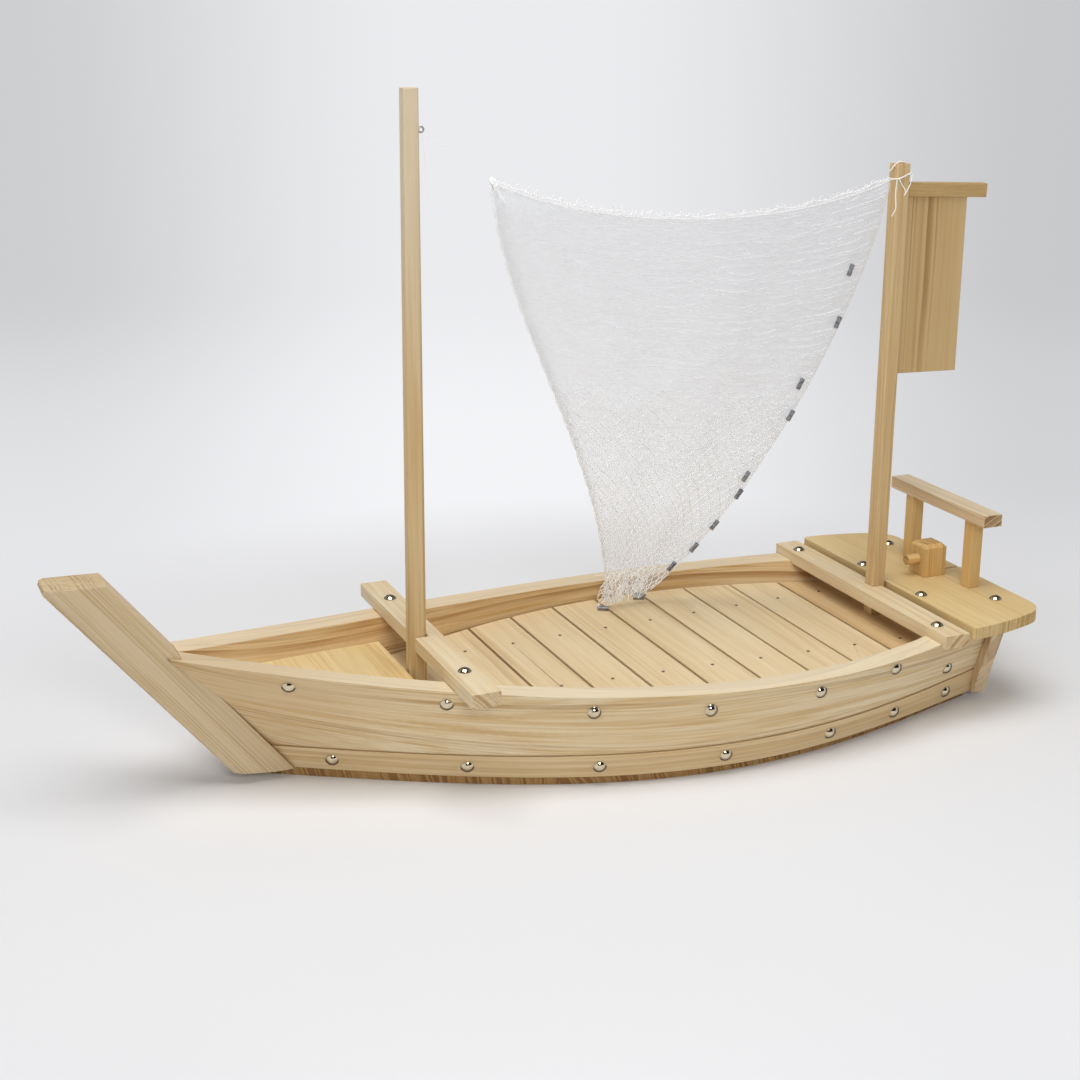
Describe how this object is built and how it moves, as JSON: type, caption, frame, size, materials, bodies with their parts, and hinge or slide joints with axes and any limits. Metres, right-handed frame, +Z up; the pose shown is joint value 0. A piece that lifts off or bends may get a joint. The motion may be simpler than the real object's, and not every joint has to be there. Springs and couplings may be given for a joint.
{
  "type": "wooden snack boat",
  "caption": "Small flat-bottomed wooden boat for serving snacks, with a slatted deck, two masts, a draped net, a hanging board sail and a railed stern deck.",
  "frame": {"origin": "underside of the bottom boards, on the keel line, at the middle of the boat's overall length", "axes": "+X towards the stern, +Y towards the far side in the picture, +Z up"},
  "size_m": [0.7002, 0.2676, 0.45],
  "materials": {
    "hull_pine": "satin",
    "bottom_pine": "satin",
    "deck_pine": "satin",
    "mast_pine": "satin",
    "trim_pine": "satin",
    "nail_metal": "polished",
    "lead": "matte",
    "net_cord": "matte"
  },
  "bodies": {
    "root": {"stem_post": "trim_pine", "port_upper_strake": "hull_pine", "starboard_upper_strake": "hull_pine", "port_lower_strake": "hull_pine", "starboard_lower_strake": "hull_pine", "bottom_board_fore": "bottom_pine", "bottom_board_mid": "bottom_pine", "bottom_board_aft": "bottom_pine", "transom": "trim_pine", "port_bearer": "bottom_pine", "starboard_bearer": "bottom_pine", "deck_slat_0": "deck_pine", "deck_slat_1": "deck_pine", "deck_slat_2": "deck_pine", "deck_slat_3": "deck_pine", "deck_slat_4": "deck_pine", "deck_slat_5": "deck_pine", "deck_slat_6": "deck_pine", "deck_slat_7": "deck_pine", "deck_slat_8": "deck_pine", "deck_slat_9": "deck_pine", "foredeck": "deck_pine", "fore_beam": "trim_pine", "aft_beam": "trim_pine", "stern_deck": "trim_pine", "port_rail_post": "trim_pine", "starboard_rail_post": "trim_pine", "rail": "trim_pine", "bollard_block": "trim_pine", "bollard_pin": "trim_pine", "fore_mast": "mast_pine", "aft_mast": "mast_pine", "sail_yard": "mast_pine", "sail_board": "mast_pine", "screw_eye": "nail_metal", "upper_strake_nails": "nail_metal", "lower_strake_nails": "nail_metal", "beam_nails": "nail_metal", "stern_deck_nails": "nail_metal", "slat_pins": "nail_metal", "net": "net_cord", "net_sinkers": "lead", "net_thread": "net_cord", "loose_thread": "net_cord", "tie_cord": "net_cord"}
  },
  "joints": []
}
